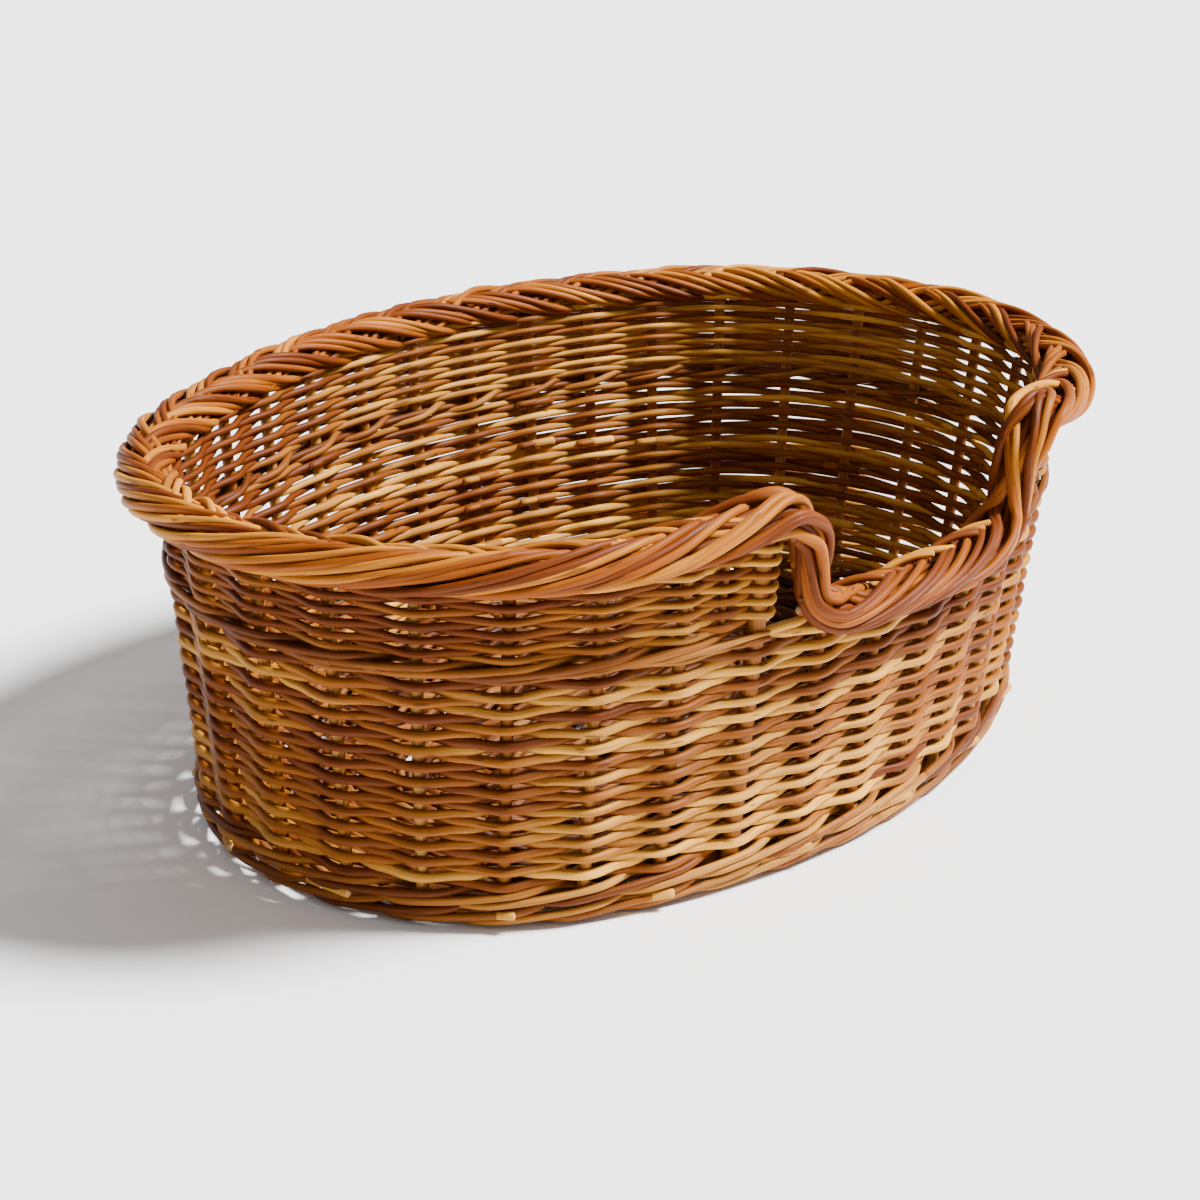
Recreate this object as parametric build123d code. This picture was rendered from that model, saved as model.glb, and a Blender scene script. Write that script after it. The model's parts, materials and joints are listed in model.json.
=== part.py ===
from build123d import *
import os
from math import atan2, cos, degrees, radians, sin

# Wicker pet bed basket. Millimetres, +Z up, origin on the ground under the middle of the base.
# +X runs along the long side and the entrance faces -Y. Nothing moves.

# ---- driving dimensions -------------------------------------------------------------------
HALF_LENGTH = 268.0        # wall centre line at the reference height, along X
HALF_WIDTH = 184.0         # the same, along Y
END_RADIUS = 160.0         # round ends of the four-arc oval
REFERENCE_Z = 142.0        # height at which the oval above is measured
FLARE = 0.10               # how far the wall leans out for each millimetre of height
WALL = 12.0                # thickness of the woven wall over its rods

STAKE_COUNT = 34           # upright rods, evenly spaced round the oval
STAKE_D = 6.4
END_STAKE_D = 9.0          # doubled stakes where the high wall stops
BY_STAKE_D = 3.6           # slim rod beside the end stake, in the upper wall only
ENTRANCE_STAKES = 4        # short stakes under the low front edge

BASE_BOTTOM_Z = 3.0        # the base plate clears the ground and the upsett stands on it
BASE_TOP_Z = 17.0
UPSETT_TOP_Z = 22.0
SILL_Z = 135.0             # top of the lower siding, seat of the low border
MID_WALE_TOP_Z = 148.0
RIM_SEAT_Z = 186.0         # top of the upper siding, seat of the high border

BORDER_HALF_WIDTH = 16.0   # plaited border, across
BORDER_HALF_HEIGHT = 13.0
BORDER_SEAT_DROP = 9.0     # from the border's axis down to its flat seat
BORDER_OUT = 8.0           # how far the border's axis stands outside the wall centre line
STEP_RADIUS = 12.0         # plaited column on each side of the entrance

LONG_STICK_D = 5.6
CROSS_STICK_D = 9.0
LONG_STICK_ROWS = 5
CROSS_STICK_ROWS = 11
STICK_MARGIN = 48.0        # the sticks end this far inside the edge of the base
ROOT_LENGTH = 34.0         # part of each stake that is pushed into the base
ROOT_BEND = 8.0
STAKE_CLEARANCE = 0.5      # stakes stop this far under the border
STEP_CLEARANCE = 0.8       # between each end of a step and the border that it joins

# ---- four-arc oval ------------------------------------------------------------------------
END_CENTRE_X = HALF_LENGTH - END_RADIUS
SIDE_RADIUS = (END_CENTRE_X**2 + HALF_WIDTH**2 - END_RADIUS**2) / (2 * (HALF_WIDTH - END_RADIUS))
SIDE_CENTRE_Y = SIDE_RADIUS - HALF_WIDTH
JOINT_ANGLE = degrees(atan2(SIDE_CENTRE_Y, END_CENTRE_X))      # where end and side arcs meet
HALF_SIDE_ARC = radians(90 - JOINT_ANGLE) * SIDE_RADIUS
END_ARC = radians(2 * JOINT_ANGLE) * END_RADIUS
PERIMETER = 4 * HALF_SIDE_ARC + 2 * END_ARC
STAKE_PITCH = PERIMETER / STAKE_COUNT
END_STAKE_ARC = (ENTRANCE_STAKES + 1) / 2 * STAKE_PITCH        # end stakes, from the middle

# the wall stops a little past the end stakes, where its weavers turn back
WALL_END_X = END_STAKE_ARC - 6.0
LOW_BORDER_ARC = 60.0      # half the length of the straight part of the low border
HIGH_BORDER_ARC = 160.0    # the high border starts this far from the middle of the entrance


def oval_edges(offset):
    """The four arcs of the oval, grown outwards by offset, anticlockwise from the right end."""
    end_r = END_RADIUS + offset
    side_r = SIDE_RADIUS + offset
    sweep_end = 2 * JOINT_ANGLE
    sweep_side = 180 - sweep_end
    return [
        CenterArc((END_CENTRE_X, 0), end_r, -JOINT_ANGLE, sweep_end),
        CenterArc((0, -SIDE_CENTRE_Y), side_r, JOINT_ANGLE, sweep_side),
        CenterArc((-END_CENTRE_X, 0), end_r, 180 - JOINT_ANGLE, sweep_end),
        CenterArc((0, SIDE_CENTRE_Y), side_r, 180 + JOINT_ANGLE, sweep_side),
    ]


def oval_face(offset, z):
    """A flat oval face at height z."""
    return Pos(0, 0, z) * make_face(Wire(oval_edges(offset)))


def lean(z):
    """Offset of the wall centre line from the reference oval at height z."""
    return FLARE * (z - REFERENCE_Z)


def oval_frame(arc):
    """Point on the reference oval and outward direction, arc measured from the front middle."""
    arc = arc % PERIMETER
    if arc > PERIMETER / 2:
        point, normal = oval_frame(PERIMETER - arc)
        return Vector(-point.X, point.Y, 0), Vector(-normal.X, normal.Y, 0)
    if arc < HALF_SIDE_ARC:
        centre, radius, angle = (0, SIDE_CENTRE_Y), SIDE_RADIUS, radians(-90) + arc / SIDE_RADIUS
    elif arc < HALF_SIDE_ARC + END_ARC:
        along = arc - HALF_SIDE_ARC
        centre, radius, angle = (END_CENTRE_X, 0), END_RADIUS, radians(-JOINT_ANGLE) + along / END_RADIUS
    else:
        along = arc - HALF_SIDE_ARC - END_ARC
        centre, radius, angle = (0, -SIDE_CENTRE_Y), SIDE_RADIUS, radians(JOINT_ANGLE) + along / SIDE_RADIUS
    normal = Vector(cos(angle), sin(angle), 0)
    return Vector(centre[0], centre[1], 0) + normal * radius, normal


def wall_point(arc, z, out=0.0):
    """Point on the leaning wall: arc along it, height z, and out to the outside."""
    point, normal = oval_frame(arc)
    return point + normal * (lean(z) + out) + Vector(0, 0, z)


def wall_band(z0, z1, inner=-WALL / 2, outer=WALL / 2):
    """Closed ring of woven wall between two heights."""
    outside = loft([oval_face(lean(z0) + outer, z0), oval_face(lean(z1) + outer, z1)], ruled=True)
    inside = loft([oval_face(lean(z0) + inner, z0), oval_face(lean(z1) + inner, z1)], ruled=True)
    return outside - inside


def rod(start, end, diameter):
    """Straight round rod between two points."""
    axis = end - start
    plane = Plane(origin=start, z_dir=axis.normalized())
    return extrude(plane * Circle(diameter / 2), amount=axis.length)


def stake_arc(index):
    """Arc position of a stake. Stakes 0 and -1 stand either side of the entrance's middle."""
    return (index + 0.5) * STAKE_PITCH


def stake(index, top_z, diameter=STAKE_D):
    """A stake: its root lies in the base, bends up at the edge and leans out with the wall."""
    arc = stake_arc(index)
    root_z = (BASE_BOTTOM_Z + BASE_TOP_Z) / 2
    foot = wall_point(arc, root_z)
    normal = oval_frame(arc)[1]
    top = wall_point(arc, top_z)
    path = FilletPolyline(foot - normal * ROOT_LENGTH, foot, top, radius=ROOT_BEND)
    section = Plane(origin=path @ 0, z_dir=path % 0) * Circle(diameter / 2)
    return sweep(section, path=path)


def border_section(path):
    """Cross-section of the plaited border at the start of its path, flat where it is seated."""
    tangent = path % 0
    outward = Vector(tangent.Y, -tangent.X, 0).normalized()
    plane = Plane(origin=path @ 0, x_dir=outward, z_dir=tangent)
    seat = Pos(0, BORDER_SEAT_DROP + BORDER_HALF_HEIGHT) * Rectangle(
        3 * BORDER_HALF_WIDTH, 2 * BORDER_HALF_HEIGHT)
    return plane * (Ellipse(BORDER_HALF_WIDTH, BORDER_HALF_HEIGHT) - seat)


# ---- base ---------------------------------------------------------------------------------
def long_sticks():
    """Thick sticks along the oval, evenly spaced across it."""
    mid_z = (BASE_BOTTOM_Z + BASE_TOP_Z) / 2
    pitch = 2 * (HALF_WIDTH - STICK_MARGIN) / (LONG_STICK_ROWS + 3)
    sticks = []
    for row in range(LONG_STICK_ROWS):
        y = (row - (LONG_STICK_ROWS - 1) / 2) * pitch
        reach = base_reach(abs(y), HALF_WIDTH, HALF_LENGTH)
        sticks.append(rod(Vector(-reach, y, mid_z), Vector(reach, y, mid_z), LONG_STICK_D))
    return sticks


def cross_sticks():
    """Short sticks across the oval, pierced so that the long ones pass through them."""
    mid_z = (BASE_BOTTOM_Z + BASE_TOP_Z) / 2
    pitch = 2 * (HALF_LENGTH - STICK_MARGIN) / (CROSS_STICK_ROWS + 1)
    sticks = []
    for row in range(CROSS_STICK_ROWS):
        x = (row - (CROSS_STICK_ROWS - 1) / 2) * pitch
        reach = base_reach(abs(x), HALF_LENGTH, HALF_WIDTH)
        stick = rod(Vector(x, -reach, mid_z), Vector(x, reach, mid_z), CROSS_STICK_D)
        sticks.append(stick - long_sticks())
    return sticks


def base_reach(across, half_across, half_along):
    """How far a base stick reaches along the oval when it lies this far across it."""
    inset = STICK_MARGIN - lean(0)
    share = across / (half_across - inset)
    return (half_along - inset) * (1 - share**2) ** 0.5


def base_plate(channels):
    """Woven plate of the base, with a channel for each stick and each stake root."""
    inner = lean(BASE_BOTTOM_Z) - WALL / 2
    plate = extrude(oval_face(inner, BASE_BOTTOM_Z), amount=BASE_TOP_Z - BASE_BOTTOM_Z)
    return plate - channels


def upsett(channels):
    """Thick wale rows that the basket stands on, rounded under towards the base."""
    round_z = 8.0
    round_in = 6.0
    foot = loft([oval_face(lean(0) + WALL / 2 - round_in, 0),
                 oval_face(lean(round_z) + WALL / 2 + 1, round_z)], ruled=True)
    upper = loft([oval_face(lean(round_z) + WALL / 2 + 1, round_z),
                  oval_face(lean(UPSETT_TOP_Z) + WALL / 2, UPSETT_TOP_Z)], ruled=True)
    hollow = extrude(oval_face(lean(BASE_BOTTOM_Z) - WALL / 2, 0), amount=UPSETT_TOP_Z)
    return foot + upper - hollow - channels


# ---- wall and border ----------------------------------------------------------------------
def entrance_block(z0, z1):
    """The space of the entrance, used to cut the bands that stop at it."""
    depth = 2 * HALF_WIDTH
    return Pos(0, -depth / 2, (z0 + z1) / 2) * Box(2 * WALL_END_X, depth, z1 - z0)


def high_border():
    """Plaited rim along the high wall, from one side of the entrance round to the other."""
    z = RIM_SEAT_Z + BORDER_SEAT_DROP
    offset = lean(z) + BORDER_OUT
    right, back, left, front = oval_edges(offset)
    start = HIGH_BORDER_ARC / SIDE_RADIUS
    half_side = radians(90 - JOINT_ANGLE)
    front_part = degrees(half_side - start)
    side_r = SIDE_RADIUS + offset
    centre = (0, SIDE_CENTRE_Y)
    from_entrance = CenterArc(centre, side_r, -90 + degrees(start), front_part)
    to_entrance = CenterArc(centre, side_r, 180 + JOINT_ANGLE, front_part)
    path = Pos(0, 0, z) * Wire([from_entrance, right, back, left, to_entrance])
    return sweep(border_section(path), path=path)


def low_border():
    """Plaited edge over the low front, the sill of the entrance."""
    z = SILL_Z + BORDER_SEAT_DROP
    half_angle = degrees(LOW_BORDER_ARC / SIDE_RADIUS)
    arc = CenterArc((0, SIDE_CENTRE_Y), SIDE_RADIUS + lean(z) + BORDER_OUT, -90 - half_angle, 2 * half_angle)
    path = Pos(0, 0, z) * Wire([arc])
    return sweep(border_section(path), path=path)


def border_step(side):
    """The border where it climbs over the corner of the wall and drops to the sill."""
    route = [                       # arc from the middle, height
        (HIGH_BORDER_ARC - STEP_CLEARANCE, 198.0),
        (HIGH_BORDER_ARC - 12, 198.0),
        (END_STAKE_ARC + 1, 208.0),
        (END_STAKE_ARC - 21, 192.0),
        (END_STAKE_ARC - 21, 160.0),
        (LOW_BORDER_ARC + 12, 147.0),
        (LOW_BORDER_ARC + STEP_CLEARANCE, 147.0),
    ]
    bends = [60.0, 15.0, 15.0, 13.0, 13.0]
    points = [wall_point(side * arc, z, BORDER_OUT) for arc, z in route]
    path = FilletPolyline(*points, radius=bends)
    section = Plane(origin=path @ 0, z_dir=path % 0) * Circle(STEP_RADIUS)
    return sweep(section, path=path)


def corner_packing(side, cutters):
    """Wedge of short rows that lifts the rim towards the corner of the entrance."""
    outer_arc, peak_z = HIGH_BORDER_ARC - 8, RIM_SEAT_Z + 11
    x0, x1 = WALL_END_X, outer_arc
    wedge = Plane.XZ * make_face(Polyline((x0, RIM_SEAT_Z), (x1, RIM_SEAT_Z), (x0, peak_z), close=True))
    wedge = extrude(wedge, amount=2 * HALF_WIDTH)
    if side < 0:
        wedge = mirror(wedge, about=Plane.YZ)
    packing = wall_band(RIM_SEAT_Z, peak_z + 1) & wedge
    return packing - cutters


# ---- assembly -----------------------------------------------------------------------------
last_entrance = ENTRANCE_STAKES // 2 - 1
right_end_index = last_entrance + 1
left_end_index = -right_end_index - 1
high_indices = range(right_end_index + 1, STAKE_COUNT - right_end_index - 1)

long_rods = long_sticks()
cross_rods = cross_sticks()
entrance_rods = [stake(i, SILL_Z - STAKE_CLEARANCE) for i in range(-ENTRANCE_STAKES // 2, ENTRANCE_STAKES // 2)]
high_rods = {i: stake(i, RIM_SEAT_Z - STAKE_CLEARANCE) for i in high_indices}
end_rods = {side: stake(index, RIM_SEAT_Z + 6, END_STAKE_D)
            for side, index in (("left", left_end_index), ("right", right_end_index))}
by_rods = {}
for side, sign in (("left", -1), ("right", 1)):
    arc = sign * (END_STAKE_ARC + STAKE_PITCH / 2)
    by_top = wall_point(arc, RIM_SEAT_Z - STAKE_CLEARANCE)
    by_rods[side] = rod(wall_point(arc, MID_WALE_TOP_Z), by_top, BY_STAKE_D)

stakes = entrance_rods + list(high_rods.values()) + list(end_rods.values())
uprights = stakes + list(by_rods.values())
steps = {"left": border_step(-1), "right": border_step(1)}

nodes = {
    "base_long_sticks": long_rods,
    "base_cross_sticks": cross_rods,
    "base_weave": [base_plate(long_rods + cross_rods + stakes)],
    "upsett_wale": [upsett(stakes)],
    "lower_siding": [wall_band(UPSETT_TOP_Z, SILL_Z) - stakes],
    "mid_wale": [wall_band(SILL_Z, MID_WALE_TOP_Z) - entrance_block(SILL_Z, MID_WALE_TOP_Z) - uprights],
    "upper_siding": [wall_band(MID_WALE_TOP_Z, RIM_SEAT_Z)
                     - entrance_block(MID_WALE_TOP_Z, RIM_SEAT_Z) - uprights],
    "entrance_stakes": entrance_rods,
    "high_border": [high_border()],
    "low_border": [low_border()],
}

# the high stakes are grouped by the side of the basket that they stand on
quarter = len(high_rods) / 4
for number, name in enumerate(("right", "back_right", "back_left", "left")):
    group = [high_rods[i] for k, i in enumerate(high_indices) if int(k / quarter) == number]
    nodes[f"stakes_{name}"] = group

for side, sign in (("left", -1), ("right", 1)):
    nodes[f"end_stake_{side}"] = [end_rods[side] - steps[side]]
    nodes[f"by_stake_{side}"] = [by_rods[side]]
    nodes[f"border_step_{side}"] = [steps[side]]
    nodes[f"corner_packing_{side}"] = [corner_packing(sign, uprights + [steps[side]])]

os.makedirs("parts", exist_ok=True)
for name, shapes in nodes.items():
    solids = [solid for shape in shapes for solid in shape.solids()]
    export_step(Compound(children=solids) if len(solids) > 1 else solids[0], f"parts/{name}.step")
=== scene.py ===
import json
from math import atan2, cos, pi, radians, sin

import bpy
import numpy as np
from mathutils import Matrix, Vector

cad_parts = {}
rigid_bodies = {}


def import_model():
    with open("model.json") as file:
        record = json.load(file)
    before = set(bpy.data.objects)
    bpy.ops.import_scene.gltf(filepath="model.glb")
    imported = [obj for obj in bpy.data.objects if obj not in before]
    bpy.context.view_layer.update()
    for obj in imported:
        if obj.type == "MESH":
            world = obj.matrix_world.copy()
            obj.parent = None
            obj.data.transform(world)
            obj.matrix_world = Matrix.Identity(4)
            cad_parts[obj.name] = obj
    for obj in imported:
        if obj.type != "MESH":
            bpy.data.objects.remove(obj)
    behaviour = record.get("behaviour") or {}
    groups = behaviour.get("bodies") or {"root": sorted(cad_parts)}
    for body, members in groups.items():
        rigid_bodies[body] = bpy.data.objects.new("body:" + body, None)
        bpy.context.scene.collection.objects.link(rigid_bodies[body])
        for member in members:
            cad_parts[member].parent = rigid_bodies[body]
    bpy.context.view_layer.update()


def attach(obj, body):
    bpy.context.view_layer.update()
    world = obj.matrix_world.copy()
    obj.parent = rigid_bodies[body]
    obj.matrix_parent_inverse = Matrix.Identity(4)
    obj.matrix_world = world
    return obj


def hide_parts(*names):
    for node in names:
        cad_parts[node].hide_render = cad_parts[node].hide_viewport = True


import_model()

rng = np.random.default_rng(41)
MM = 0.001

# ---- the basket's dimensions in millimetres, the same as in part.py ---------------------------
HALF_LENGTH, HALF_WIDTH, END_RADIUS = 268.0, 184.0, 160.0    # the wall's oval at REFERENCE_Z
REFERENCE_Z, FLARE = 142.0, 0.10
STAKE_COUNT, ENTRANCE_STAKES = 34, 4
STAKE_R, END_STAKE_R, BY_STAKE_R = 3.2, 4.5, 1.8
UPSETT_TOP, SILL, WALE_TOP, RIM_SEAT = 22.0, 135.0, 148.0, 186.0
BORDER_OUT, STEP_FOOT_ARC, HIGH_BORDER_ARC = 8.0, 60.0, 160.0
BASE_MID = 10.0

# ---- the willow rods, in millimetres ----------------------------------------------------------
LOWER_ROWS, UPPER_ROWS = 26, 11
LOWER_R, UPPER_R, ENTRANCE_ROW_R, SLIM_ROW_R = 2.45, 1.95, 2.3, 2.1
FOOT_WALE_R, SECOND_WALE_R, MID_WALE_R = 2.2, 2.15, 2.1
BORDER_R, STEP_R, CORE_R = 2.15, 2.6, 2.6
BASE_WEAVER_R, LONG_STICK_R, CROSS_STICK_R = 2.15, 2.8, 4.2

# ---- the oval, worked out from the dimensions -------------------------------------------------
END_CENTRE_X = HALF_LENGTH - END_RADIUS
SIDE_RADIUS = (END_CENTRE_X**2 + HALF_WIDTH**2 - END_RADIUS**2) / (2 * (HALF_WIDTH - END_RADIUS))
SIDE_CENTRE_Y = SIDE_RADIUS - HALF_WIDTH
JOINT = atan2(SIDE_CENTRE_Y, END_CENTRE_X)
HALF_SIDE = (pi / 2 - JOINT) * SIDE_RADIUS
END_ARC = 2 * JOINT * END_RADIUS
PERIMETER = 4 * HALF_SIDE + 2 * END_ARC
PITCH = PERIMETER / STAKE_COUNT
END_STAKE_ARC = (ENTRANCE_STAKES + 1) / 2 * PITCH

UPWARD = (0.0, 0.0, 1.0)


def oval(arc, offset=0.0):
    """Points and outward normals of the four-arc oval, arc measured from the front middle."""
    arc = np.mod(np.asarray(arc, float), PERIMETER)
    mirrored = arc > PERIMETER / 2
    s = np.where(mirrored, PERIMETER - arc, arc)
    front, end = s < HALF_SIDE, s < HALF_SIDE + END_ARC
    angle = np.where(front, -pi / 2 + s / SIDE_RADIUS,
                     np.where(end, -JOINT + (s - HALF_SIDE) / END_RADIUS,
                              JOINT + (s - HALF_SIDE - END_ARC) / SIDE_RADIUS))
    radius = np.where(end & ~front, END_RADIUS, SIDE_RADIUS) + offset
    cx = np.where(end & ~front, END_CENTRE_X, 0.0)
    cy = np.where(front, SIDE_CENTRE_Y, np.where(end, 0.0, -SIDE_CENTRE_Y))
    flip = np.where(mirrored, -1.0, 1.0)
    nx, ny = np.cos(angle) * flip, np.sin(angle)
    x, y = cx * flip + nx * radius, cy + ny * radius
    zero = np.zeros_like(x)
    return np.stack([x, y, zero], -1), np.stack([nx, ny, zero], -1)


def share_round(arc):
    """A place as a share of the perimeter: 0 is the front middle and 0.25 the right end."""
    return np.mod(np.asarray(arc) / PERIMETER, 1)


def hill(share, place, spread):
    """1 at a place round the basket, and 0 well away from it."""
    return np.exp(-((share - place) / spread) ** 2)


def left_end(arc):
    """How close a place is to the left end, where the wall leans out a little more."""
    return hill(share_round(arc), 0.77, 0.09)


LEFT_LEAN = 1.8                 # how far the wall stands out more at the left end, at RIM_TOP
RIM_TOP = 190


def wall(arc, z, out=0.0):
    """Points of the leaning wall, with the outward normals there."""
    arc, z, out = np.broadcast_arrays(np.asarray(arc, float), z, out)
    point, normal = oval(arc, FLARE * (z - REFERENCE_Z) + out + LEFT_LEAN * left_end(arc) * z / RIM_TOP)
    point[:, 2] = z
    return point, normal


def smooth(x):
    x = np.clip(x, 0, 1)
    return x * x * (3 - 2 * x)


def unit(v):
    return v / np.maximum(np.linalg.norm(v, axis=-1, keepdims=True), 1e-9)


def bell(half_count, spread):
    """Weights that smooth a line of points when it is convolved with them."""
    weight = np.exp(-0.5 * (np.arange(-half_count, half_count + 1) / spread) ** 2)
    return weight / weight.sum()


class Rods:
    """Willow rods gathered into one mesh, each with its own tone and its own grain."""

    SWELL = 0.05                # how much a rod's radius varies along it
    BULGE = 0.25                # how far a cut end stands out, as a share of the radius
    END_SIZE = 0.55             # how wide the flat of a cut end is, as a share of the radius
    GRAIN_R = 2.5               # the radius that the grain is laid round

    def __init__(self):
        self.verts, self.quads, self.caps = [], [], []
        self.grain, self.tone, self.cut = [], [], []
        self.count = 0

    def add(self, path, radius, ref, tone=None, sides=7):
        """A tube along a path, in millimetres. ref points away from the rod's centre line."""
        path = np.asarray(path, float)
        n = len(path)
        step = np.linalg.norm(np.diff(path, axis=0), axis=1)
        along = np.concatenate([[0], np.cumsum(step)])
        radius = np.broadcast_to(radius, n).astype(float)
        wave, phase = rng.uniform(40, 90), rng.uniform(0, 6)
        radius = radius * (1 + self.SWELL * np.sin(along / wave * 2 * pi + phase))
        t = unit(np.gradient(path, axis=0))
        a = unit(np.cross(t, ref))
        b = np.cross(a, t)
        angle = np.arange(sides) * 2 * pi / sides
        ca, sa = np.cos(angle), np.sin(angle)
        spoke = ca[None, :, None] * a[:, None] + sa[None, :, None] * b[:, None]
        ring = path[:, None] + radius[:, None, None] * spoke
        shift = rng.uniform(0, 3000, 3)
        grain = np.empty((n, sides, 3))
        grain[..., 0] = along[:, None] + shift[0]
        grain[..., 1] = ca * self.GRAIN_R + shift[1]
        grain[..., 2] = sa * self.GRAIN_R + shift[2]
        tone = rng.uniform(0, 1) if tone is None else tone
        tone = np.broadcast_to(tone, n).astype(float)

        # the faces round the rod, then a narrow bevel and a cap at each end
        index = self.count + np.arange(n * sides).reshape(n, sides)
        here, there = index[:-1], index[1:]
        quads = np.stack([here, there, np.roll(there, -1, 1), np.roll(here, -1, 1)], -1)
        first, last = index[0], index[-1]
        cap_first = self.count + n * sides + np.arange(sides)
        cap_last = cap_first + sides
        self.quads += [quads.reshape(-1, 4),
                       np.stack([cap_first, first, np.roll(first, -1), np.roll(cap_first, -1)], -1),
                       np.stack([last, cap_last, np.roll(cap_last, -1), np.roll(last, -1)], -1)]
        self.caps += [cap_first, cap_last[::-1]]

        self.verts.append(ring.reshape(-1, 3))
        for i, sign in ((0, -1), (-1, 1)):
            bulged = ring[i] + sign * t[i] * radius[i] * self.BULGE
            self.verts.append(bulged * self.END_SIZE + bulged.mean(0) * (1 - self.END_SIZE))
        self.grain += [grain.reshape(-1, 3), grain[0], grain[-1]]
        self.tone += [np.repeat(tone, sides), np.full(sides, tone[0]), np.full(sides, tone[-1])]
        self.cut += [np.zeros(n * sides), np.ones(2 * sides)]
        self.count += (n + 2) * sides

    def build(self, name, material, slot, *nodes):
        """The mesh as a piece that stands for the CAD nodes."""
        verts = np.concatenate(self.verts) * MM
        quads = np.concatenate(self.quads)
        caps = np.array(self.caps)
        mesh = bpy.data.meshes.new(name)
        mesh.vertices.add(len(verts))
        mesh.vertices.foreach_set("co", verts.ravel())
        mesh.loops.add(quads.size + caps.size)
        mesh.loops.foreach_set("vertex_index", np.concatenate([quads.ravel(), caps.ravel()]))
        starts = np.concatenate([np.arange(len(quads)) * 4,
                                 quads.size + np.arange(len(caps)) * caps.shape[1]])
        mesh.polygons.add(len(starts))
        mesh.polygons.foreach_set("loop_start", starts)
        mesh.polygons.foreach_set("use_smooth", [True] * len(starts))
        for key, kind, data in (("grain", "FLOAT_VECTOR", np.concatenate(self.grain) * MM),
                                ("tone", "FLOAT", np.concatenate(self.tone)),
                                ("cut", "FLOAT", np.concatenate(self.cut))):
            layer = mesh.attributes.new(key, kind, "POINT")
            layer.data.foreach_set("vector" if kind == "FLOAT_VECTOR" else "value", data.ravel())
        mesh.update()
        mesh.validate()
        piece = bpy.data.objects.new(name, mesh)
        bpy.context.scene.collection.objects.link(piece)
        mesh.materials.append(material)
        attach(piece, "root")
        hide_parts(*nodes)


# ---- willow -----------------------------------------------------------------------------------
STREAK_STOPS = [(0.30, (0.42, 0.34, 0.28)), (0.52, (0.9, 0.88, 0.85)), (0.7, (1.0, 1.0, 1.0))]
BUD_STOPS = [(0.77, (0, 0, 0)), (0.80, (1, 1, 1))]
CUT_COLOUR = (0.62, 0.43, 0.24)
SMOOTHEST, ROUGHEST = 0.36, 0.62


def willow(name, dark, mid, light, rods=True):
    """Peeled willow: every rod its own tone, with streaks, blotches and buds along it."""
    mat = bpy.data.materials.new(name)
    mat.use_nodes = True
    nodes, link = mat.node_tree.nodes, mat.node_tree.links.new
    shader = nodes["Principled BSDF"]

    def node(kind, **values):
        made = nodes.new("ShaderNode" + kind)
        for key, value in values.items():
            if key in made.inputs:
                made.inputs[key].default_value = value
            else:
                setattr(made, key, value)
        return made

    def noise(label, source, scale, detail):
        stretch = node("Mapping", Scale=scale)
        link(source, stretch.inputs["Vector"])
        made = node("TexNoise", Scale=1.0, Detail=detail, Roughness=0.6, label=label)
        link(stretch.outputs[0], made.inputs["Vector"])
        return made.outputs["Fac"]

    def ramp(source, stops):
        made = node("ValToRGB")
        elements = made.color_ramp.elements
        while len(elements) < len(stops):
            elements.new(0.5)
        for element, (at, colour) in zip(elements, stops):
            element.position = at
            element.color = (*colour, 1)
        link(source, made.inputs[0])
        return made.outputs["Color"]

    def feed(socket, value):
        if isinstance(value, (int, float)):
            socket.default_value = value
        elif isinstance(value, tuple):
            socket.default_value = (*value, 1)
        else:
            link(value, socket)

    def mix(kind, factor, a, b):
        made = node("Mix", data_type="RGBA", blend_type=kind)
        for place, value in ((0, factor), (6, a), (7, b)):
            feed(made.inputs[place], value)
        return made.outputs[2]

    def maths(operation, a, b):
        made = node("Math", operation=operation)
        feed(made.inputs[0], a)
        feed(made.inputs[1], b)
        return made.outputs[0]

    if rods:
        grain = node("Attribute", attribute_name="grain").outputs["Vector"]
        tone = node("Attribute", attribute_name="tone").outputs["Fac"]
        cut = node("Attribute", attribute_name="cut").outputs["Fac"]
        streak = noise("streaks along the rod", grain, (35, 900, 900), 3)
        blotch = noise("blotches", grain, (9, 120, 120), 2)
        buds = noise("buds", grain, (70, 330, 330), 0)
    else:
        place = node("TexCoord").outputs["Object"]
        streak = noise("streaks up the stake", place, (900, 900, 35), 3)
        blotch = noise("blotches", place, (60, 60, 9), 2)
        buds = noise("buds", place, (330, 330, 70), 0)
        tone = noise("tone of the stake", place, (14, 14, 1.5), 0)
    pick = maths("ADD", tone, maths("MULTIPLY", maths("SUBTRACT", blotch, 0.5), 0.9))
    palest = tuple(min(1, c * 1.25) for c in light)
    colour = ramp(pick, [(0.02, dark), (0.42, mid), (0.80, light), (1.0, palest)])
    colour = mix("MULTIPLY", 0.75, colour, ramp(streak, STREAK_STOPS))
    bud = ramp(buds, BUD_STOPS)
    colour = mix("MIX", maths("MULTIPLY", bud, 0.6), colour, tuple(c * 0.35 for c in dark))
    if rods:
        colour = mix("MIX", maths("MULTIPLY", cut, 0.55), colour, CUT_COLOUR)
    link(colour, shader.inputs["Base Color"])
    rough = node("MapRange")
    rough.inputs["To Min"].default_value = SMOOTHEST
    rough.inputs["To Max"].default_value = ROUGHEST
    link(streak, rough.inputs["Value"])
    link(rough.outputs[0], shader.inputs["Roughness"])
    bump = node("Bump", Strength=0.5, Distance=0.0004)
    link(maths("ADD", streak, maths("MULTIPLY", bud, 0.7)), bump.inputs["Height"])
    link(bump.outputs[0], shader.inputs["Normal"])
    shader.inputs["Coat Weight"].default_value = 0.01
    shader.inputs["Coat Roughness"].default_value = 0.32
    shader.inputs["Specular IOR Level"].default_value = 0.11
    return mat


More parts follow.
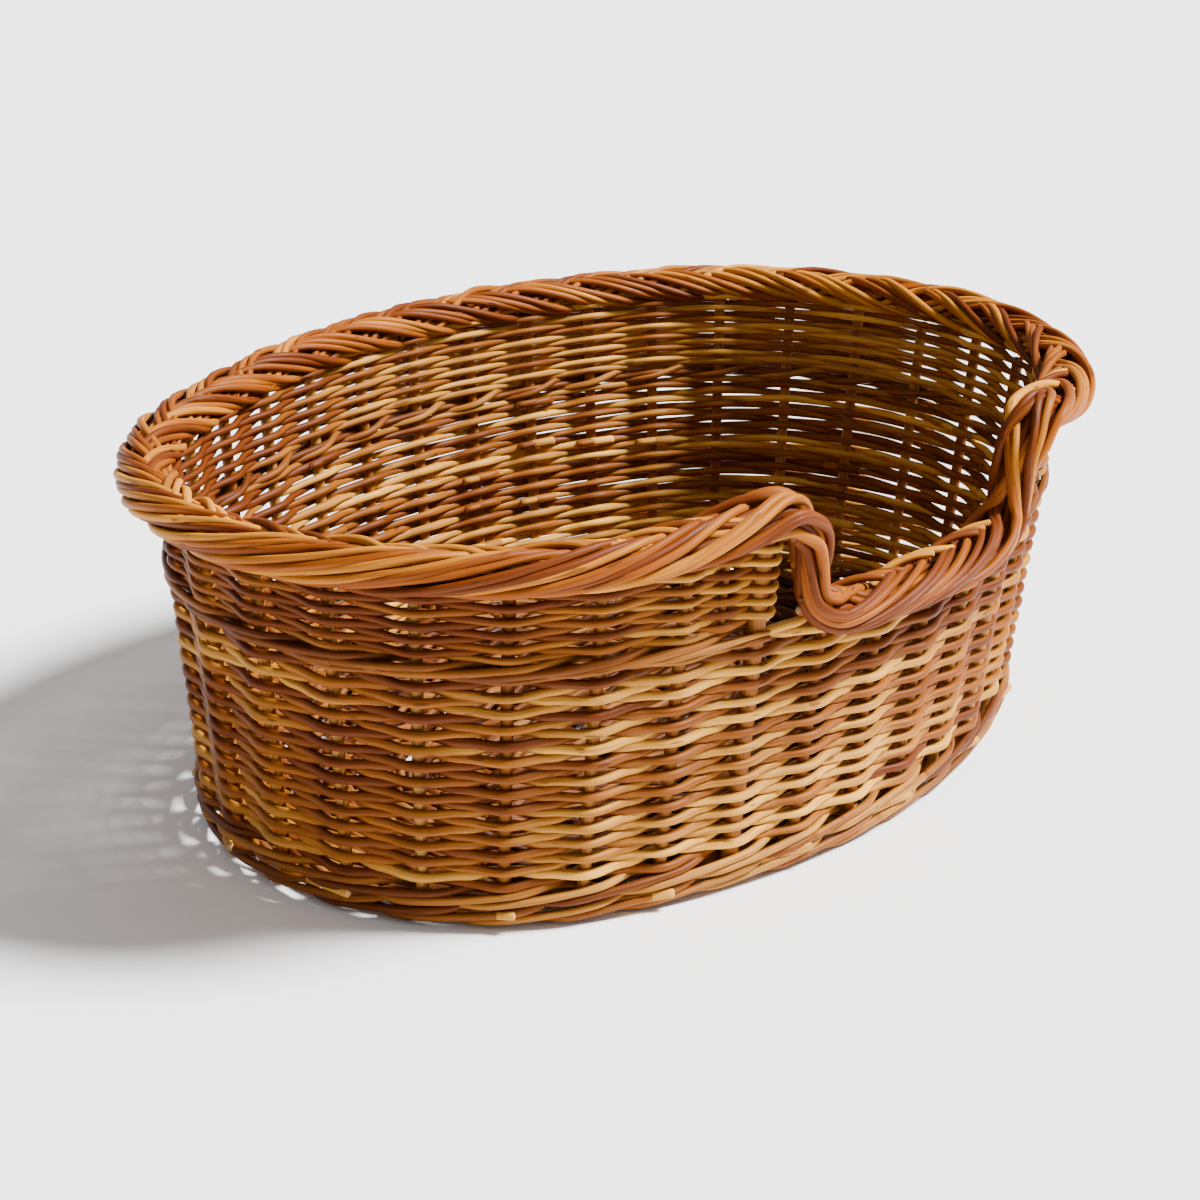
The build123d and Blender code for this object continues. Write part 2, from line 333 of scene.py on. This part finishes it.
# each with its dark, middle and light tone
siding_mat = willow("willow_siding", (0.120, 0.024, 0.001), (0.26, 0.076, 0.005), (0.63, 0.310, 0.045))
wale_mat = willow("willow_wale", (0.110, 0.025, 0.002), (0.25, 0.076, 0.008), (0.50, 0.235, 0.035))
border_mat = willow("willow_border", (0.130, 0.025, 0.001), (0.30, 0.074, 0.003), (0.56, 0.220, 0.016))
base_mat = willow("willow_base", (0.035, 0.007, 0.001), (0.11, 0.026, 0.004), (0.20, 0.07, 0.015))
stake_mat = willow("willow_stake", (0.13, 0.030, 0.003), (0.28, 0.090, 0.010), (0.50, 0.24, 0.055),
                   rods=False)

# the CAD's own stakes stay, in willow
for node_object in bpy.data.objects:
    if any(word in node_object.name for word in ("stake", "stick")):
        for material_slot in node_object.material_slots:
            material_slot.material = stake_mat


# ---- plain weave ------------------------------------------------------------------------------
CLIMB = 0.15                    # a rod climbs as it passes outside a stake, and comes down inside
TAIL_SHARE, TAIL_DEPTH = 0.45, 2.6      # a rod's end: how many pitches long, and how far in it goes
STEADY_TILT, MORE_TILT = 0.5, 1.4
TILT_FROM, TILT_TO, TILT_EASE = 0.20, 0.62, 0.1         # shares of the perimeter
UPPER_TILT = 0.8                # the share of the tilt that the upper siding has
EASE_ARC = 60                   # rows are level at an end stake, and settle in over this far
BREAK_OVERLAP = 0.3             # pitches that a rod's end runs past its stake
# where the rods are painted darker: the place round the basket, its spread and how much. At the left end
# it is partly the willow's own darker tone and partly painted shade; inside at the back left and at the
# right end it is painted shade
PAINTED_SHADE_AND_DARKER_WILLOW = ((0.79, 0.075, 0.34), (0.62, 0.08, 0.42), (0.08, 0.07, 0.26))


def settle(arc, z):
    """The gentle waviness that all rows of the wall share."""
    turn = 2 * pi * np.asarray(arc) / PERIMETER
    return 0.5 * np.sin(3 * turn + z / 40) + 0.3 * np.sin(8 * turn + 1.3 + z / 25)


def tilt(arc):
    """How far a rod dips outside a stake and rises inside it: most at the right end and the back."""
    share = share_round(arc)
    window = smooth((share - TILT_FROM) / TILT_EASE) * smooth((TILT_TO - share) / TILT_EASE)
    return STEADY_TILT + MORE_TILT * window


def painted_shade_and_darker_willow(arc):
    """How much darker the rods are painted at a place round the basket: painted shade, and at the left end
    partly the willow's own darker tone.
    """
    share = share_round(arc)
    return sum(depth * hill(share, place, spread) for place, spread, depth in PAINTED_SHADE_AND_DARKER_WILLOW)


def bend(turn):
    """A rod bends close round each stake and lies straight against its neighbours between."""
    return np.sign(turn) * turn**2


def weave_row(rods, start, end, z, row, radius, reach):
    """One rod of the plain weave from start to end, both ends tucked away on the inside."""
    arc = np.arange(start, end + 0.1, PITCH / 12)
    phase = pi * (arc / PITCH - 0.5)
    side = (-1) ** row
    out = reach * bend(np.cos(phase) * side)
    tail_length = TAIL_SHARE * PITCH
    tail = np.maximum(1 - (arc - start) / tail_length, 0) + np.maximum(1 - (end - arc) / tail_length, 0)
    out = out - TAIL_DEPTH * tail**1.5
    taper = np.linspace(1.07, 0.88, len(arc))
    lift = 0.35 * np.sin(2 * pi * arc / (PITCH * 2) + rng.uniform(0, 6)) * rng.uniform(0.4, 1.2)
    climb = CLIMB * np.sin(phase) * side
    point, normal = wall(arc, z + settle(arc, z) + lift + climb - tilt(arc) * out / reach, out)
    thick = radius * rng.uniform(0.95, 1.05) * taper
    # the tone is lowered by painted shade round the basket, and at the left end partly by darker willow
    rods.add(point, thick, normal, tone=rng.uniform(0.12, 0.92) - painted_shade_and_darker_willow(arc))


lower = Rods()
row_height = (SILL - UPSETT_TOP) / LOWER_ROWS
for row in range(LOWER_ROWS):
    # the rod is inside at every other stake, and that is where rods end and begin
    inside = [k for k in range(STAKE_COUNT) if (k + row) % 2 == 1]
    breaks = sorted(rng.choice(inside, 2, replace=False))
    z = UPSETT_TOP + row_height * (row + 0.5)
    for first, last in ((breaks[0], breaks[1]), (breaks[1], breaks[0] + STAKE_COUNT)):
        start, end = (first + 0.5 - BREAK_OVERLAP) * PITCH, (last + 0.5 + BREAK_OVERLAP) * PITCH
        weave_row(lower, start, end, z, row, LOWER_R, STAKE_R + 1.5)
# short rows across the entrance, up inside the low border
entrance_end = END_STAKE_ARC - 4
for row in range(2):
    z = SILL + 2.2 + 4.3 * row
    weave_row(lower, -entrance_end, entrance_end, z, row, ENTRANCE_ROW_R, STAKE_R + 0.8)
lower.build("siding_lower", siding_mat, "siding_willow", "lower_siding")

# the upper siding goes in and out of these, and turns back round the end stakes
first_high = ENTRANCE_STAKES // 2 + 1
right_uprights = [END_STAKE_ARC, END_STAKE_ARC + PITCH / 2]
high_stakes = [(k + 0.5) * PITCH for k in range(first_high, STAKE_COUNT - first_high)]
left_uprights = [PERIMETER - arc for arc in reversed(right_uprights)]
upright_arcs = np.array(right_uprights + high_stakes + left_uprights)
upright_radii = np.array([END_STAKE_R, BY_STAKE_R] + [STAKE_R] * len(high_stakes)
                         + [BY_STAKE_R, END_STAKE_R])
first_upright, last_upright = upright_arcs[0], upright_arcs[-1]


def turned_row(rods, z, row, start, end, rise_start=None, rise_end=None):
    """A row of the upper siding. An end with a rise wraps round an end stake into the next row."""
    arc = np.arange(start, end + 0.1, PITCH / 10)
    phase = np.interp(arc, upright_arcs, np.arange(len(upright_arcs)))
    reach = np.interp(arc, upright_arcs, upright_radii + UPPER_R - 0.5)
    out = reach * bend(np.cos(pi * (phase + row)))
    ease = np.clip((arc - first_upright) / EASE_ARC, 0, 1) * np.clip((last_upright - arc) / EASE_ARC, 0, 1)
    height = z + (settle(arc, z) - UPPER_TILT * tilt(arc) * out / reach) * ease
    wrap = np.linspace(0, pi / 2, 6)
    loop_r = END_STAKE_R + UPPER_R
    if rise_start is not None:
        side = np.sign(out[0])
        height = np.concatenate([z + rise_start * (1 - np.sin(wrap[:-1])), height])
        out = np.concatenate([side * loop_r * np.sin(wrap[:-1]), out])
        arc = np.concatenate([start - loop_r * np.cos(wrap[:-1]), arc])
    if rise_end is not None:
        side = np.sign(out[-1])
        height = np.concatenate([height, z + rise_end * (1 - np.cos(wrap[1:]))])
        out = np.concatenate([out, side * loop_r * np.cos(wrap[1:])])
        arc = np.concatenate([arc, end + loop_r * np.sin(wrap[1:])])
    point, _ = wall(arc, height, out)
    # the upper rows get 1.8 times the painted shade and darker willow, mostly a painted shadow of the
    # border on the wall under it
    # upward stays square to the rod where it goes round the end stake
    rods.add(point, UPPER_R, UPWARD, tone=rng.uniform(0.2, 0.8) - 1.8 * painted_shade_and_darker_willow(arc))


upper = Rods()
upper_height = (RIM_SEAT - WALE_TOP) / UPPER_ROWS
for row in range(UPPER_ROWS):
    rise = upper_height / 2 * (-1) ** row
    z = WALE_TOP + upper_height * (row + 0.5)
    turned_row(upper, z, row, first_upright, last_upright, rise, -rise)
for row in range(2):                    # the last rows lie up inside the border
    z = RIM_SEAT + 1.7 + 3.3 * row
    turned_row(upper, z, row + 1, HIGH_BORDER_ARC, PERIMETER - HIGH_BORDER_ARC)
upper.build("siding_upper", siding_mat, "siding_willow", "upper_siding")

# shorter and shorter rows fill the corner under the rising border
for side in ("right", "left"):
    packing = Rods()
    for row, length in enumerate((66, 55, 42, 29, 16)):
        z, rise = RIM_SEAT + 1.6 + 3.1 * row, 1.5 * (-1) ** row
        if side == "right":
            turned_row(packing, z, row + 1, first_upright, first_upright + length, rise_start=rise)
        else:
            turned_row(packing, z, row + 1, last_upright - length, last_upright, rise_end=rise)
    packing.build("corner_rows_" + side, siding_mat, "siding_willow", "corner_packing_" + side)


# ---- three-rod wales --------------------------------------------------------------------------
# shares of a rod's run, which is three pitches long
TURN_SHARE, LAY_SHARE, DROP_SHARE = 0.3, 0.2, 0.14
LAY_OUT = 1.8                   # how far a rod lies out over the other two where it comes out
FOOT_TOP = 9                    # the foot wale draws in below this height
SHORTEST_ROD = 20               # in points of ten to a pitch


def wale_round(rods, start, end, z0, height, radius, foot=0.0, ends=1.0):
    """Three rods that each pass outside two stakes and inside the next, climbing as they go."""
    for rod in range(3):
        arc = np.arange(start, end + 0.1, PITCH / 10)
        u = np.mod((arc / PITCH - 0.5 - rod) / 3, 1)
        near = np.minimum(u, 1 - u)
        out = (STAKE_R + radius) * (2 * smooth(near / TURN_SHARE) - 1)
        out = out + LAY_OUT * (1 - u) * smooth(near / LAY_SHARE)
        # it climbs all the way outside, and drops back where it passes inside a stake
        drop = 0.5 - (u - np.round(u)) / DROP_SHARE * (0.5 - DROP_SHARE)
        climb = np.where(near < DROP_SHARE, drop, u)
        z = z0 + radius + height * climb + settle(arc, z0) * min(1, z0 / 10)
        out = out - foot * np.clip(FOOT_TOP - z, 0, FOOT_TOP) / FOOT_TOP
        point, normal = wall(arc, z, out)
        slim = ends + (1 - ends) * smooth(np.minimum(arc - arc[0], arc[-1] - arc) / EASE_ARC)
        # each round is three lengths of rod, end to end
        places = np.arange(SHORTEST_ROD, len(arc) - SHORTEST_ROD)
        cuts = [0] + sorted(rng.choice(places, 2, replace=False)) + [len(arc)]
        for a, b in zip(cuts[:-1], cuts[1:]):
            length = slice(a, b + 1)
            thick = radius * rng.uniform(0.95, 1.05) * slim[length]
            # painted shade round the basket, and darker willow at the left end, lower the wale's tone
            tone = rng.uniform(0.1, 0.75) - painted_shade_and_darker_willow(arc[length])
            rods.add(point[length], thick, normal[length], tone=tone)


upsett = Rods()
wale_round(upsett, 0, PERIMETER, -1.8, 13.6, FOOT_WALE_R, foot=5.0)
wale_round(upsett, PITCH, PERIMETER + PITCH, 9.0, 12.4, SECOND_WALE_R)
rise = np.linspace(0, 1, 8)
for k in range(0, STAKE_COUNT, 2):      # butts of the wale rods, cut off outside
    arc = (k + 0.5) * PITCH + np.linspace(-24, rng.uniform(2, 6), 8)
    point, normal = wall(arc, rng.uniform(7, 13) + 2.5 * rise, 2.5 + 6.0 * rise**1.5)
    upsett.add(point, rng.uniform(2.2, 2.7), normal, tone=0.95)
upsett.build("wale_upsett", wale_mat, "wale_willow", "upsett_wale")

mid = Rods()
wale_round(mid, END_STAKE_ARC - 5, PERIMETER - END_STAKE_ARC + 5, SILL - 0.2, 9.0, MID_WALE_R, ends=0.62)
# slim rows of plain weave fill the wale
for z, row in ((SILL + 1.2, 0), (SILL + 6.2, 1), (WALE_TOP - 0.8, 0)):
    weave_row(mid, END_STAKE_ARC - 3, PERIMETER - END_STAKE_ARC + 3, z, row, SLIM_ROW_R, STAKE_R + 0.8)
mid.build("wale_mid", wale_mat, "wale_willow", "mid_wale")


# ---- plaited border ---------------------------------------------------------------------------
HIGH_Z, LOW_Z = 195.0, 144.5
HALF_ACROSS, HALF_TALL = 12.3, 9.5      # the oval section that the border's rods lie on
CORE_ACROSS, CORE_TALL = 6.6, 4.4
STEEP_ACROSS, STEEP_TALL = 0.28, 0.22   # how much of the section goes where the border is steep
RIM_EASE, RIM_SPREAD = 20, 4.6          # how the corners of the route are rounded
BACK_SAG, BACK_LEFT_SAG, LEFT_OUT = 3.0, 3.5, 4.5
LEAD = 1.9                              # a group starts this many pitches before its own place

# the middle of the border as arc and height, from the middle of the entrance to the back
half_route = [(0, LOW_Z), (48, LOW_Z), (64, 146), (74, 148.5), (85, 159), (87, 192), (105, 208),
              (132, 203), (160, 198), (205, HIGH_Z), (PERIMETER / 2, HIGH_Z)]
route = np.array(half_route + [(PERIMETER - a, z) for a, z in reversed(half_route[:-1])], float)
run = np.concatenate([[0], np.cumsum(np.hypot(*np.diff(route, axis=0).T))])
fine = np.arange(0, run[-1], 1.0)
rim_arc, rim_z = np.interp(fine, run, route[:, 0]), np.interp(fine, run, route[:, 1])
kernel = bell(RIM_EASE, RIM_SPREAD)
padded = np.concatenate([rim_z[-RIM_EASE:], rim_z, rim_z[:RIM_EASE]])
rim_z = np.convolve(padded, kernel, "valid")
padded = np.concatenate([rim_arc[-RIM_EASE:] - PERIMETER, rim_arc, rim_arc[:RIM_EASE] + PERIMETER])
rim_arc = np.convolve(padded, kernel, "valid")
# the rim sags a little at the back, most at the back left, and stands out further at the left end
rim_z = rim_z - BACK_LEFT_SAG * hill(rim_arc / PERIMETER, 0.66, 0.13)
rim_z = rim_z - BACK_SAG * smooth(0.35 - np.cos(2 * pi * rim_arc / PERIMETER))
rim_point, rim_out = wall(rim_arc, rim_z, BORDER_OUT + LEFT_OUT * left_end(rim_arc))
looped = np.concatenate([rim_point[-1:], rim_point, rim_point[:1]])
rim_t = unit(looped[2:] - looped[:-2])
rim_out = unit(rim_out - rim_t * (rim_out * rim_t).sum(1, keepdims=True))
rim_up = np.cross(rim_out, rim_t)
RIM = len(fine)
GROUPS = round(RIM / PITCH)


def rim_at(s, values):
    """A value of the rim's line at run s, round and round the loop."""
    s = np.mod(s, RIM)
    grid = np.arange(RIM + 1)
    closed = np.concatenate([values, values[:1]])
    return np.stack([np.interp(s, grid, closed[:, i]) for i in range(3)], -1)


def round_rim(s, angle, across, tall):
    """Points on the border's oval section: angle 0 is outside, 90 degrees is on top."""
    centre, out, up = rim_at(s, rim_point), rim_at(s, rim_out), rim_at(s, rim_up)
    steep = rim_at(s, rim_t)[:, 2] ** 2
    across, tall = across * (1 - STEEP_ACROSS * steep), tall * (1 - STEEP_TALL * steep)
    spoke = out * (across * np.cos(angle))[:, None] + up * (tall * np.sin(angle))[:, None]
    return centre + spoke, unit(spoke)


borders = {name: Rods() for name in ("high", "low", "right", "left")}
low_run = np.interp(STEP_FOOT_ARC, rim_arc[:RIM // 2], fine[:RIM // 2])
step_run = np.interp(HIGH_BORDER_ARC, rim_arc[:RIM // 2], fine[:RIM // 2])


def border_name(s):
    """The part of the border that a rod at run s belongs to."""
    s = s % RIM
    if s < low_run or s > RIM - low_run:
        return "low"
    if s < step_run:
        return "right"
    return "left" if s > RIM - step_run else "high"


def flow(stops, count):
    """A smooth line through stops of (pitches along, degrees round, millimetres out)."""
    stops = np.array(stops, float)
    at = np.linspace(stops[0, 0], stops[-1, 0], count)
    weight = bell(6, 2.6)
    line = [np.interp(at, stops[:, 0], stops[:, i]) for i in (1, 2)]
    line = [np.convolve(np.pad(v, 6, mode="edge"), weight, "valid") for v in line]
    return at * PITCH, np.radians(line[0]), line[1]


# each group climbs the outside slowly, dips under the inner rods on top and goes down the inside
OUTER = [(0, -78, -3.5), (0.25, -58, -1.0), (1.0, -12, 0.9), (1.9, 38, 1.5), (2.45, 76, 1.2),
         (2.75, 104, -1.6), (3.05, 150, -2.2), (3.35, 205, -1.5)]
# the same rods come back up on the inside, cross the top and dive under the outer ones
INNER = [(2.55, 236, -2.5), (2.95, 208, 0.0), (3.45, 170, 1.5), (3.95, 133, 1.9), (4.3, 104, 1.2),
         (4.6, 72, -3.0), (4.95, 30, -4.5)]
# on the low border they are cut off on top instead
INNER_CUT = [(3.2, 228, -1.5), (3.45, 196, 0.6), (3.8, 150, 2.2), (4.15, 104, 2.4), (4.3, 84, 2.0)]
# each with the gap between its rods, its middle in pitches along, and its points
LAYERS = {"outer": (OUTER, 10.6, 1.6, 60), "inner": (INNER, 10.2, 3.7, 44)}
CUT_GAP, CUT_TONE = 7.4, 0.72
EVEN_SPREAD, MIXED_SPREAD = 0.26, 0.42                  # how much tones differ within a group
# the second of these is painted shade on the core rods that show between the strands in the steps
LOW_DARKER, STEP_CORE_PAINTED_SHADE = 0.16, 0.35

for group in range(GROUPS):
    s0 = group * RIM / GROUPS
    group_tone = rng.uniform(0.18, 0.62)
    for layer, (stops, gap, middle, count) in LAYERS.items():
        part = border_name(s0 + middle * PITCH - LEAD * PITCH)
        tone, spread, radius, members = group_tone, EVEN_SPREAD, BORDER_R, range(3)
        if part == "low" and layer == "inner":
            stops, gap, tone = INNER_CUT, CUT_GAP, CUT_TONE
        if part != "high":
            tone, spread = tone - LOW_DARKER, MIXED_SPREAD
        if part in ("right", "left"):   # a step has two thicker rods in a group
            radius, members = STEP_R, (0.5, 1.5)
        for rod in members:
            along, angle, rise = flow(stops, count)
            wander = radians(3.5) * np.sin(along / rng.uniform(30, 60) + rng.uniform(0, 6))
            s = s0 + (rod - 1) * gap + rng.normal(0, 0.9) + along - LEAD * PITCH
            rise = rise + 0.6 * (1 - rod) + rng.normal(0, 0.4)
            point, ref = round_rim(s, angle + wander, HALF_ACROSS + rise, HALF_TALL + rise)
            thick = radius * rng.uniform(0.92, 1.1) * np.linspace(1.05, 0.92, len(along))
            rod_tone = np.clip(tone + rng.normal(0, spread), 0, 1)
            borders[part].add(point, thick, ref, sides=8, tone=rod_tone)

# the rods laid along inside the plait: six round a middle one, painted darker in the steps as shade in the
# gaps between the strands
stretches = (("low", -low_run, low_run), ("right", low_run, step_run),
             ("high", step_run, RIM - step_run), ("left", RIM - step_run, RIM - low_run))
for lane in range(7):
    for name, s_from, s_to in stretches:
        s = np.arange(s_from, s_to + 0.1, (s_to - s_from) / max(8, round((s_to - s_from) / 6)))
        if lane < 6:
            point, ref = round_rim(s, 2 * pi * lane / 6 + s / 90, CORE_ACROSS, CORE_TALL)
        else:
            point, ref = rim_at(s, rim_point), rim_at(s, rim_out)
        core_painted_shade = STEP_CORE_PAINTED_SHADE if name in ("right", "left") else 0
        borders[name].add(point, CORE_R, ref, sides=8, tone=rng.uniform(0, 0.4) - core_painted_shade)

borders["high"].build("border_high", border_mat, "border_willow", "high_border")
borders["low"].build("border_low", border_mat, "border_willow", "low_border")
for side in ("right", "left"):
    borders[side].build("border_step_rods_" + side, border_mat, "border_willow", "border_step_" + side)


# ---- base -------------------------------------------------------------------------------------
BASE_EDGE = FLARE * (3 - REFERENCE_Z) - 6       # the base's edge, as an offset of the oval
OVAL_INSET, LAST_INSET = 116.0, 161             # further in than the first, rings are flattened
FIRST_INSET, RING_GAP = -1.9, 4.3
WEAVE_DEPTH = 4.6
LONG_Y = [(row - 2) * 34.0 for row in range(5)]
CROSS_X = [(row - 5) * 36.667 for row in range(11)]
STICK_INSET, STICK_BOW = 24.0, 1.2


def base_ring(inset):
    """A closed line round the base this far inside its edge, flattened near the middle."""
    offset = BASE_EDGE - min(inset, OVAL_INSET)
    extra = max(0.0, inset - OVAL_INSET)
    point, _ = oval(np.linspace(0, PERIMETER, 341), offset)
    point[:, 0] *= 1 - extra / (HALF_LENGTH + offset)
    point[:, 1] *= 1 - extra / (HALF_WIDTH + offset)
    return point


def places_across(values, levels):
    """Where along a line its values cross the levels, in points."""
    flips = [np.nonzero((values[:-1] - level) * (values[1:] - level) <= 0)[0] for level in levels]
    return np.concatenate(flips) + 0.5


weave = Rods()
for ring_number, inset in enumerate(np.arange(FIRST_INSET, LAST_INSET, RING_GAP)):
    point = base_ring(inset)
    # the rod goes over one stick and under the next
    crossings = np.unique([*places_across(point[:, 0], CROSS_X), *places_across(point[:, 1], LONG_Y)])
    stops = [*crossings, crossings[0] + len(point) - 1]
    phase = np.interp(np.arange(len(point)), stops, np.arange(len(stops)))
    point[:, 2] = BASE_MID + WEAVE_DEPTH * np.cos(pi * (phase + ring_number))
    weave.add(point, BASE_WEAVER_R * rng.uniform(0.93, 1.07), UPWARD, sides=6)
weave.build("base_weavers", base_mat, "base_willow", "base_weave")


def add_sticks(name, levels, radius, axis):
    """The straight sticks of the base that lie along an axis: 0 is x and 1 is y."""
    half = (HALF_LENGTH - STICK_INSET, HALF_WIDTH - STICK_INSET)
    sticks = Rods()
    for level in levels:
        reach = half[axis] * (1 - (level / half[1 - axis]) ** 2) ** 0.5
        t = np.linspace(-reach, reach, 40)
        path = np.empty((len(t), 3))
        path[:, axis] = t
        path[:, 1 - axis] = level + STICK_BOW * np.sin(t / reach * pi + rng.uniform(0, 6))
        path[:, 2] = BASE_MID
        sticks.add(path, radius, UPWARD, sides=8)
    sticks.build(name + "_rods", base_mat, "base_willow", name + "_sticks")


add_sticks("base_long", LONG_Y, LONG_STICK_R, 0)
add_sticks("base_cross", CROSS_X, CROSS_STICK_R, 1)


# ---- floor, light and camera ------------------------------------------------------------------
FLOOR_HALF, FLOOR_WHITE = 6.0, 0.98
SUN_AZIMUTH, SUN_ELEVATION, SUN_WIDTH = radians(46), radians(49), radians(16)
SUN_STRENGTH, SKY_STRENGTH = 14.0, 0.50
VIEW_AZIMUTH, VIEW_ELEVATION, VIEW_ROLL = radians(-49.36), radians(21.7), radians(1.5)
DISTANCE, SENSOR, LENS = 1.502, 36.0, 81.7
AIM_RIGHT, AIM_UP = -0.0142, 0.0805     # where the camera looks, from the basket's middle


def put(name, data):
    """A new object for the data, in the scene."""
    made = bpy.data.objects.new(name, data)
    bpy.context.scene.collection.objects.link(made)
    return made


def toward(azimuth, elevation):
    """The direction out from the basket, turned from the front and up from the floor."""
    return Vector((sin(azimuth) * cos(elevation), -cos(azimuth) * cos(elevation), sin(elevation)))


mesh = bpy.data.meshes.new("stage_floor")
corners = [(x * FLOOR_HALF, y * FLOOR_HALF, 0) for x, y in ((-1, -1), (1, -1), (1, 1), (-1, 1))]
mesh.from_pydata(corners, [], [(0, 1, 2, 3)])
pale = bpy.data.materials.new("pale_floor")
pale.use_nodes = True
shader = pale.node_tree.nodes["Principled BSDF"]
shader.inputs["Base Color"].default_value = (FLOOR_WHITE, FLOOR_WHITE, FLOOR_WHITE, 1)
shader.inputs["Roughness"].default_value = 0.9
mesh.materials.append(pale)
put("stage_floor", mesh)

sun = bpy.data.lights.new("key", "SUN")
sun.energy, sun.angle = SUN_STRENGTH, SUN_WIDTH
lamp = put("key", sun)
lamp.rotation_euler = toward(SUN_AZIMUTH, SUN_ELEVATION).to_track_quat("Z", "Y").to_euler()

world = bpy.data.worlds.new("studio")
bpy.context.scene.world = world
world.use_nodes = True
world.node_tree.nodes["Background"].inputs["Color"].default_value = (1, 1, 1, 1)
world.node_tree.nodes["Background"].inputs["Strength"].default_value = SKY_STRENGTH

back = toward(VIEW_AZIMUTH, VIEW_ELEVATION)
right = Vector((cos(VIEW_AZIMUTH), sin(VIEW_AZIMUTH), 0))
up = back.cross(right)
rolled_right = right * cos(VIEW_ROLL) + up * sin(VIEW_ROLL)
rolled_up = up * cos(VIEW_ROLL) - right * sin(VIEW_ROLL)
spin = Matrix((rolled_right, rolled_up, back)).transposed().to_4x4()
lens = bpy.data.cameras.new("camera")
lens.sensor_width, lens.lens = SENSOR, LENS
camera = put("camera", lens)
target = right * AIM_RIGHT + Vector((0, 0, AIM_UP))
camera.matrix_world = Matrix.Translation(target + back * DISTANCE) @ spin
bpy.context.scene.camera = camera
